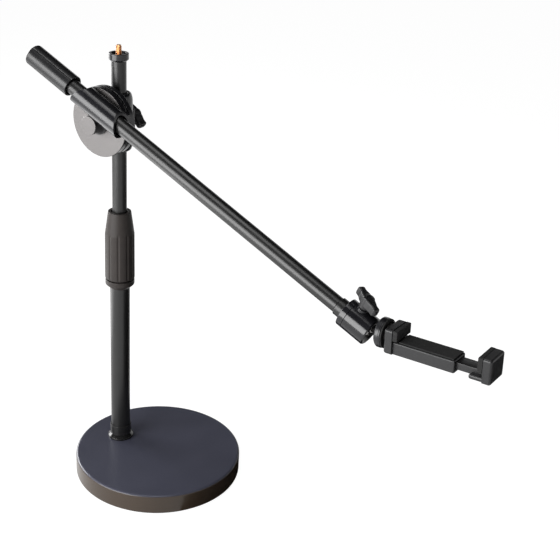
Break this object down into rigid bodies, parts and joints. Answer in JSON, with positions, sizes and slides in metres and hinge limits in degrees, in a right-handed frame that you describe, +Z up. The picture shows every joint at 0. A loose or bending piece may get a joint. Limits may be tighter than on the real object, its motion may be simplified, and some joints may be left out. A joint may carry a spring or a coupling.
{
  "type": "overhead phone stand",
  "caption": "Weighted round base with a telescopic pole and a clamp-on boom arm that slides, rolls and tilts, with a ball head and a sprung phone clamp at its end.",
  "frame": {"origin": "on the pole's axis, at the underside of the base pad", "axes": "+Z up along the pole, +X along the arm seen from above, -Y the side of the pole that the arm is on"},
  "size_m": [0.5606, 0.1932, 0.5017],
  "materials": {
    "base_coat": "dark satin paint",
    "satin_black_coat": "satin black coat on steel tube",
    "black_coated_casting": "satin black coat on a light alloy casting",
    "collar_plastic": "satin",
    "black_plastic": "satin",
    "bare_satin_metal": "satin, uncoated",
    "stud_brass": "polished",
    "plain_steel": "plain",
    "soft_rubber": "matt",
    "liner_plastic": "plain"
  },
  "bodies": {
    "base": {"base_weight": "base_coat", "base_pad": "soft_rubber", "base_washer": "plain_steel", "base_bolt": "plain_steel", "foot_plug": "plain_steel", "foot_ring": "satin_black_coat", "foot_ferrule": "satin_black_coat", "lower_tube": "satin_black_coat", "clutch_ring": "collar_plastic", "split_collet": "liner_plastic"},
    "collar": {"collar_sleeve": "collar_plastic"},
    "mast": {"upper_tube": "satin_black_coat", "guide_bush": "liner_plastic", "spigot_flange": "black_coated_casting", "spigot_stud": "stud_brass"},
    "liner": {"pole_liner": "black_plastic"},
    "clamp": {"clamp_housing": "black_coated_casting", "clamp_shoe": "liner_plastic", "friction_washer": "soft_rubber"},
    "pole_knob": {"pole_knob": "black_plastic", "pole_knob_screw": "plain_steel"},
    "holder": {"arm_holder": "bare_satin_metal", "tilt_washer": "plain_steel"},
    "tilt_knob": {"tilt_knob": "black_plastic", "tilt_knob_cap": "bare_satin_metal", "tilt_bolt": "plain_steel"},
    "bush": {"arm_bush": "black_plastic"},
    "arm": {"arm_tube": "satin_black_coat", "tail_plug": "black_plastic", "arm_grip": "black_plastic", "arm_end_fitting": "satin_black_coat", "ball_housing": "black_coated_casting", "ball_shoe": "liner_plastic"},
    "ball_knob": {"ball_knob": "black_plastic", "ball_knob_screw": "plain_steel"},
    "seat": {"ball_seat": "liner_plastic"},
    "ball": {"ball_stem": "plain_steel", "platform": "black_coated_casting", "platform_pad": "soft_rubber"},
    "phone_clamp": {"clamp_foot": "plain_steel", "phone_tray": "black_plastic", "spring_peg": "plain_steel", "tray_cover": "black_plastic", "cover_screw_1": "plain_steel", "cover_screw_2": "plain_steel", "fixed_jaw_pad": "soft_rubber", "tray_pad": "soft_rubber", "jaw_spring": "plain_steel"},
    "jaw": {"moving_jaw": "black_plastic", "jaw_peg": "plain_steel", "moving_jaw_pad": "soft_rubber"}
  },
  "joints": [
    {"name": "collar_twist", "type": "hinge", "parent": "base", "child": "collar", "pos_m": [0, 0, 0.2373], "axis": [0, 0, 1], "range_deg": [0, 120]},
    {"name": "mast_lift", "type": "slide", "parent": "base", "child": "mast", "axis": [0, 0, 1], "range_m": [-0.035, 0.07]},
    {"name": "clamp_slide", "type": "slide", "parent": "mast", "child": "liner", "axis": [0, 0, 1], "range_m": [-0.035, 0.028]},
    {"name": "clamp_swivel", "type": "hinge", "parent": "liner", "child": "clamp", "pos_m": [0, 0, 0.425], "axis": [0, 0, 1], "continuous": true},
    {"name": "pole_knob_turn", "type": "hinge", "parent": "clamp", "child": "pole_knob", "pos_m": [0, 0.0161, 0.422], "axis": [0, 1, 0], "range_deg": [0, 360]},
    {"name": "arm_tilt", "type": "hinge", "parent": "clamp", "child": "holder", "pos_m": [0, 0, 0.425], "axis": [0, 1, 0], "range_deg": [-70, 27]},
    {"name": "tilt_knob_turn", "type": "hinge", "parent": "clamp", "child": "tilt_knob", "pos_m": [0, -0.0326, 0.425], "axis": [0, -1, 0], "range_deg": [0, 360]},
    {"name": "arm_roll", "type": "hinge", "parent": "holder", "child": "bush", "pos_m": [0.00875, -0.042, 0.44584], "axis": [0.9221, 0, -0.387], "continuous": true},
    {"name": "arm_slide", "type": "slide", "parent": "bush", "child": "arm", "axis": [0.9221, 0, -0.387], "range_m": [-0.285, 0.006]},
    {"name": "ball_knob_turn", "type": "hinge", "parent": "arm", "child": "ball_knob", "pos_m": [0.33211, -0.042, 0.31011], "axis": [0.387, 0, 0.9221], "range_deg": [0, 360]},
    {"name": "ball_pan", "type": "hinge", "parent": "arm", "child": "seat", "pos_m": [0.34014, -0.042, 0.30674], "axis": [0.9221, 0, -0.387], "continuous": true},
    {"name": "ball_tilt", "type": "hinge", "parent": "seat", "child": "ball", "pos_m": [0.34014, -0.042, 0.30674], "axis": [0, 1, 0], "range_deg": [-5.5, 56.5]},
    {"name": "holder_turn", "type": "hinge", "parent": "ball", "child": "phone_clamp", "pos_m": [0.34014, -0.042, 0.30674], "axis": [0.999, 0, 0.0436], "continuous": true},
    {"name": "jaw_slide", "type": "slide", "parent": "phone_clamp", "child": "jaw", "axis": [0.999, 0, 0.0436], "range_m": [-0.014, 0.012], "stiffness_N_per_m": 60, "springref_m": -0.07, "deforming": ["jaw_spring"]}
  ]
}
